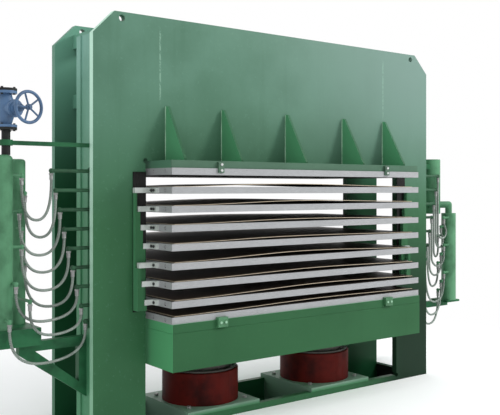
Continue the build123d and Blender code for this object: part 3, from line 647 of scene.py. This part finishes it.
def bare_steel(name, colour, dark, rough, metallic, stretch, flat_shade=None):
    """Machined or rolled steel with drawn marks and smears; the flat colour is painted shade on its
    top and underside.
    """
    made, tree, shader, place = material(name)
    marks = noise_node(tree, place, 60.0, rough=0.6, stretch=stretch)
    masks = add_grime(tree, 1.6)
    tint = mix_node(tree, ramp_node(tree, marks, 0.35, 0.75), dark, colour)
    tint = mix_node(tree, times(tree, masks["Stains"], 0.35), tint, dark)
    tint = mix_node(tree, times(tree, masks["Specks"], 0.30), tint, OIL_BROWN)
    # Painted shade on the tops and undersides, darker still under stains
    if flat_shade is not None:
        flat_shade_stained = mix_node(tree, masks["Stains"], flat_shade, tuple(c * 0.5 for c in flat_shade))
        tint = mix_node(tree, facing(tree, "Z", *LYING_FLAT), tint, flat_shade_stained)
    tree.links.new(tint, shader.inputs["Base Color"])
    shader.inputs["Metallic"].default_value = metallic
    set_rough(tree, shader, marks, share=0.25, rough=rough)
    add_bump(tree, shader, marks, strength=0.12, distance=0.0006)
    return made


def brushed_coat(tree, shader, place, light, dark):
    """The tint of brush paint with grime in it, and its masks; the brush marks are a bump."""
    masks = add_grime(tree, 3.0)
    tint = mix_node(tree, masks["Stains"], light, dark)
    tint = mix_node(tree, times(tree, masks["Specks"], 0.35), tint, dark)
    brush_marks = noise_node(tree, place, 220.0, detail=3.0)
    add_bump(tree, shader, brush_marks, strength=0.15, distance=0.0006)
    return tint, masks


def dull_paint(name, colour, dark, rough, shine=0.2):
    """Older brush paint."""
    made, tree, shader, place = material(name)
    tint, masks = brushed_coat(tree, shader, place, colour, dark)
    tree.links.new(tint, shader.inputs["Base Color"])
    set_rough(tree, shader, masks["Runs"], share=0.2, rough=rough)
    shader.inputs["Specular IOR Level"].default_value = shine
    return made


def bolted(name, body_finish, bolt_colour, planes):
    """Brush paint on a piece whose bolt heads lie beyond the given planes of |x| or |y|."""
    made, tree, shader, place = material(name)
    tint, _ = brushed_coat(tree, shader, place, *body_finish)
    axes = split_axes(tree, place)
    head = None
    for axis, plane in planes:
        past = math_node(tree, "GREATER_THAN", absolute(tree, axes[axis]), plane)
        head = past if head is None else times(tree, head, past)
    tree.links.new(mix_node(tree, head, tint, bolt_colour), shader.inputs["Base Color"])
    shader.inputs["Roughness"].default_value = 0.42
    return made


def braid(name):
    """Woven wire over the hose: two crossing sets of strands."""
    made, tree, shader, place = material(name)
    strands = []
    for way in (1, -1):
        wave = tree.nodes.new("ShaderNodeTexWave")
        wave.wave_type = "BANDS"
        wave.bands_direction = "DIAGONAL"
        wave.inputs["Scale"].default_value = 55.0
        tree.links.new(stretched(tree, place, (way, 1, 1)), wave.inputs["Vector"])
        strands.append(wave.outputs["Fac"])
    weave = times(tree, *strands)
    masks = add_grime(tree, 2.0)
    tint = mix_node(tree, weave, WIRE_GAP, WIRE_GREY)
    tint = mix_node(tree, times(tree, masks["Stains"], 0.5), tint, WIRE_DIRT)
    tree.links.new(tint, shader.inputs["Base Color"])
    shader.inputs["Metallic"].default_value = 0.35
    shader.inputs["Roughness"].default_value = 0.45
    add_bump(tree, shader, weave, strength=0.5, distance=0.0015)
    return made


# Bolt heads stand out beyond these planes
LUG_BOLT_X = 1.3795
REAR_ARM_BOLT_Y, FRONT_ARM_BOLT_Y = 0.4150, 0.4505
TOP_DOG_BOLT_Y, TABLE_DOG_BOLT_Y = 0.6995, 0.7235

# Materials: the green paints
FRAME_PAINT = frame_paint("frame_paint", (0.240, 0.480, 0.310), (0.580, 0.860, 0.700))
# Its inner face takes painted shade, dark below and lighter towards the top
REAR_PAINT = frame_paint(
    "rear_paint", (0.050, 0.160, 0.090), (0.110, 0.250, 0.180), (INSIDE_SHADE_GREEN, INSIDE_LIT_GREEN)
)
# Paler towards the top: painted light
WEB_PAINT = green_paint(
    "web_paint", (0.068, 0.235, 0.118), (0.190, 0.380, 0.310), heights=(2.5, 4.1)
)
# The cross ties take the same painted shade, lighter towards the top
INSIDE_SHADE_PAINT = green_paint("inside_shade_paint", INSIDE_SHADE_GREEN, INSIDE_LIT_GREEN, heights=INSIDE_UP)
# Its side faces take a painted highlight
LEDGE_PAINT = green_paint(
    "ledge_paint", (0.062, 0.130, 0.083), (0.076, 0.148, 0.100), (0.080, 0.190, 0.120)
)
# Its end and side faces take a painted highlight
TABLE_PAINT = green_paint(
    "table_paint", (0.027, 0.109, 0.042), (0.027, 0.105, 0.042), (0.096, 0.360, 0.160),
    heights=(1.2, 1.95),
)
# Its side faces take a painted highlight
LADDER_PAINT = green_paint("ladder_paint", LADDER_GREEN, LADDER_GREEN, (0.075, 0.240, 0.118))
# Its top and side faces take a painted highlight of glare
SILL_PAINT = green_paint(
    "sill_paint", (0.062, 0.200, 0.095), SILL_GLARE_GREEN, SILL_GLARE_GREEN, heights=(1.085, 1.12)
)
# Paler towards the top and on its side faces: painted light
GUSSET_PAINT = green_paint(
    "gusset_paint", (0.026, 0.100, 0.045), (0.045, 0.140, 0.075), (0.105, 0.350, 0.175),
    heights=(3.1, 3.6),
)

# Materials: the dull paints and the near-black strips
HEADER_PAINT = dull_paint(
    "header_paint", (0.088, 0.240, 0.128), (0.045, 0.135, 0.068), rough=0.45
)
BRACKET_PAINT = dull_paint(
    "bracket_paint", (0.017, 0.115, 0.045), (0.008, 0.055, 0.022), rough=0.50
)
PIPE_PAINT = dull_paint("pipe_paint", (0.030, 0.095, 0.048), (0.014, 0.040, 0.021), rough=0.50)
CYLINDER_PAINT = dull_paint(
    "cylinder_paint", (0.098, 0.0070, 0.0045), (0.026, 0.0030, 0.0025), rough=0.55, shine=0.10
)
VALVE_PAINT = dull_paint(
    "valve_paint", (0.085, 0.165, 0.300), (0.038, 0.072, 0.130), rough=0.40, shine=0.35
)
BLACK_PAINT = dull_paint("black_paint", (0.016, 0.018, 0.017), (0.008, 0.008, 0.008), rough=0.40)
# A pale green for the weld beads, as a painted highlight along them
SEAM_HIGHLIGHT_PAINT = dull_paint("seam_highlight_paint", (0.330, 0.520, 0.370), (0.110, 0.260, 0.150), rough=0.35)
# Near black for the guide strips beside the windows
NEAR_BLACK_STRIPS = dull_paint("guide_strip_black", (0.010, 0.010, 0.009), (0.004, 0.004, 0.004), rough=0.25)
REAR_LUGS = bolted("rear_lugs", LUG_FINISH, BOLT_BLACK, (("X", LUG_BOLT_X), ("Y", REAR_ARM_BOLT_Y)))
FRONT_LUGS = bolted(
    "front_lugs", LUG_FINISH, BOLT_BLACK, (("X", LUG_BOLT_X), ("Y", FRONT_ARM_BOLT_Y))
)
TOP_DOGS = bolted("top_dogs", TOP_DOG_FINISH, BOLT_STEEL, (("Y", TOP_DOG_BOLT_Y),))
TABLE_DOGS = bolted("table_dogs", TABLE_DOG_FINISH, BOLT_GREEN, (("Y", TABLE_DOG_BOLT_Y),))

# Materials: the steels and the braid
BOLT_PAINT = bare_steel(
    "bolt_steel", BOLT_STEEL, (0.20, 0.21, 0.20), rough=0.30, metallic=0.4, stretch=(4, 4, 4)
)
# The platens' flat colour is painted shade in the daylights between them
PLATEN_STEEL = bare_steel(
    "platen_steel", (0.440, 0.446, 0.460), (0.270, 0.275, 0.280),
    rough=0.38, metallic=0.10, stretch=(0.4, 8, 30), flat_shade=(0.045, 0.037, 0.030),
)
# The sheets' flat colour is painted shade on and under them
SHEET_STEEL = bare_steel(
    "sheet_steel", (0.820, 0.720, 0.560), (0.480, 0.390, 0.270),
    rough=0.35, metallic=0.2, stretch=(6, 6, 40), flat_shade=(0.085, 0.058, 0.038),
)
# Dark as painted shade: the rams and gland rings stand in the beam's shadow
SHADED_RAM_STEEL = bare_steel(
    "ram_steel", (0.120, 0.110, 0.100), (0.040, 0.036, 0.032),
    rough=0.30, metallic=0.6, stretch=(8, 8, 1),
)
FITTING_STEEL = bare_steel(
    "fitting_steel", (0.470, 0.480, 0.470), (0.200, 0.205, 0.200),
    rough=0.25, metallic=0.6, stretch=(4, 4, 4),
)
BRAID = braid("hose_braid")

# What each piece is finished in
FINISHES = {
    "frame_front": FRAME_PAINT, "frame_rear": REAR_PAINT, "side_webs": WEB_PAINT,
    "cross_ties": INSIDE_SHADE_PAINT, "ledge_plate": LEDGE_PAINT, "gussets": GUSSET_PAINT,
    "ladders": LADDER_PAINT, "guide_strips": NEAR_BLACK_STRIPS, "moving_beam": TABLE_PAINT,
    "table_cover": TABLE_PAINT, "rams": SHADED_RAM_STEEL, "cylinders": CYLINDER_PAINT,
    "gland_rings": SHADED_RAM_STEEL, "sill_plates": SILL_PAINT, "sill_bolts": BOLT_PAINT,
    "clamp_dogs_top": TOP_DOGS, "clamp_dogs_table": TABLE_DOGS, "left_headers": HEADER_PAINT,
    "riser_pipe": BLACK_PAINT, "gate_valve": VALVE_PAINT, "handwheel": VALVE_PAINT,
    "header_bracket": BRACKET_PAINT, "tie_bar": BRACKET_PAINT, "right_header": HEADER_PAINT,
    "right_bracket": BRACKET_PAINT,
}
FAMILY_FINISHES = {
    "platen": PLATEN_STEEL, "sheet": SHEET_STEEL, "pipes": PIPE_PAINT, "hoses": BRAID
}
REAR_LAYER_LEVELS = 4
for number in range(1, MOVING_PLATENS + 1):
    FINISHES[f"lugs_{number}"] = REAR_LUGS if number <= REAR_LAYER_LEVELS else FRONT_LUGS


def set_finish(piece, finish):
    piece.data.materials.clear()
    piece.data.materials.append(finish)


for node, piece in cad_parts.items():
    family = node.split("_")[0]
    set_finish(piece, FAMILY_FINISHES[family] if family in FAMILY_FINISHES else FINISHES[node])
for pieces, finish in (
    (hoses, BRAID), (cauls, SHEET_STEEL), (fittings, FITTING_STEEL), ([seams], SEAM_HIGHLIGHT_PAINT)
):
    for piece in pieces:
        set_finish(piece, finish)


# Floor with the pit that the frame stands in
FLOOR_WHITE, PIT_GREY = (0.97, 0.97, 0.97), (0.03, 0.03, 0.03)
FADE_NEAR, FADE_FAR = 2.6, 5.0
FLOOR_REACH = 60.0
FLOOR_T = 0.02
PIT_GAP = 0.004
PIT_WALL = 0.10
PIT_WALL_TOP = FLOOR_Z - 0.021
PIT_BASE_T = 0.05


def plain(name, colour, rough):
    made, tree, shader, place = material(name)
    speck = noise_node(tree, place, 3.0, detail=3.0)
    tint = mix_node(tree, speck, colour, tuple(c * 0.985 for c in colour))
    tree.links.new(tint, shader.inputs["Base Color"])
    shader.inputs["Roughness"].default_value = rough
    shader.inputs["Specular IOR Level"].default_value = 0.1
    return made


def seen_rays(tree):
    """1 for the rays that show things, and 0 for those that only light them."""
    path = tree.nodes.new("ShaderNodeLightPath").outputs
    seen = math_node(tree, "MAXIMUM", path["Is Camera Ray"], path["Is Transmission Ray"])
    return math_node(tree, "MAXIMUM", seen, path["Is Glossy Ray"])


def mix_shaders(tree, amount, lit, shown, target):
    mix = tree.nodes.new("ShaderNodeMixShader")
    tree.links.new(amount, mix.inputs[0])
    tree.links.new(lit.outputs[0], mix.inputs[1])
    tree.links.new(shown.outputs[0], mix.inputs[2])
    tree.links.new(mix.outputs[0], target.inputs["Surface"])


def fade_to_white(finish, near, far):
    """Away from the press the camera sees the floor as white as the background."""
    tree = finish.node_tree
    away = tree.nodes.new("ShaderNodeVectorMath")
    away.operation = "LENGTH"
    tree.links.new(object_place(tree), away.inputs[0])
    amount = times(tree, seen_rays(tree), ramp_node(tree, away.outputs["Value"], near, far))
    white = tree.nodes.new("ShaderNodeEmission")
    mix_shaders(tree, amount, tree.nodes["Principled BSDF"], white, tree.nodes["Material Output"])


def slab(name, low, high, finish):
    bpy.ops.object.select_all(action="DESELECT")
    bpy.ops.mesh.primitive_cube_add(
        size=1,
        location=[(a + b) / 2 for a, b in zip(low, high)],
        scale=[b - a for a, b in zip(low, high)],
    )
    piece = bpy.context.object
    piece.name = name
    bpy.ops.object.transform_apply(location=True, rotation=False, scale=True)
    piece.data.materials.append(finish)


def make_floor():
    """Four slabs around the pit, which has a base and four walls."""
    floor_paint = plain("floor_paint", FLOOR_WHITE, rough=0.95)
    fade_to_white(floor_paint, FADE_NEAR, FADE_FAR)
    concrete = plain("pit_concrete", PIT_GREY, rough=0.9)
    left, front = FRAME_LOW.x - PIT_GAP, FRAME_LOW.y - PIT_GAP
    right, rear = FRAME_HIGH.x + PIT_GAP, FRAME_BACK.y + PIT_GAP
    for name, low, high in (
        ("floor_front", (-FLOOR_REACH, -FLOOR_REACH), (FLOOR_REACH, front)),
        ("floor_rear", (-FLOOR_REACH, rear), (FLOOR_REACH, FLOOR_REACH)),
        ("floor_left", (-FLOOR_REACH, front), (left, rear)),
        ("floor_right", (right, front), (FLOOR_REACH, rear)),
    ):
        slab(name, (*low, FLOOR_Z - FLOOR_T), (*high, FLOOR_Z), floor_paint)
    wall_low, wall_high = (left - PIT_WALL, front - PIT_WALL), (right + PIT_WALL, rear + PIT_WALL)
    slab("pit_base", (*wall_low, -PIT_BASE_T), (*wall_high, 0.0), concrete)
    for name, low, high in (
        ("pit_front", (left, wall_low[1]), (right, front)),
        ("pit_rear", (left, rear), (right, wall_high[1])),
        ("pit_left", (wall_low[0], front), (left, rear)),
        ("pit_right", (right, front), (wall_high[0], rear)),
    ):
        slab(name, (*low, 0.0), (*high, PIT_WALL_TOP), concrete)


make_floor()


# Light: a plain soft level, a little stronger from the right and above
def soft_light(name, place, aim, size, power):
    data = bpy.data.lights.new(name, "AREA")
    data.shape = "DISK"
    data.size = size
    data.energy = power
    lamp = new_object(name, data)
    lamp.location = place
    lamp.rotation_euler = (Vector(aim) - Vector(place)).to_track_quat("-Z", "Y").to_euler()


def background(node, colour, strength):
    node.inputs["Color"].default_value = (*colour, 1)
    node.inputs["Strength"].default_value = strength
    return node


def plain_world():
    """A near-white room that is seen as pure white."""
    world = bpy.data.worlds.new("room")
    bpy.context.scene.world = world
    world.use_nodes = True
    tree = world.node_tree
    shown = background(tree.nodes["Background"], (1, 1, 1), 1.0)
    lit = background(tree.nodes.new("ShaderNodeBackground"), (0.97, 0.99, 1.0), 1.0)
    mix_shaders(tree, seen_rays(tree), lit, shown, tree.nodes["World Output"])


plain_world()
soft_light("key", place=(5.5, -5.5, 7.5), aim=(0.0, 0.0, 2.4), size=2.2, power=420)
soft_light("back", place=(2.0, 7.0, 6.5), aim=(0.0, 0.0, 2.6), size=4.0, power=60)

bpy.context.scene.view_settings.view_transform = "Standard"
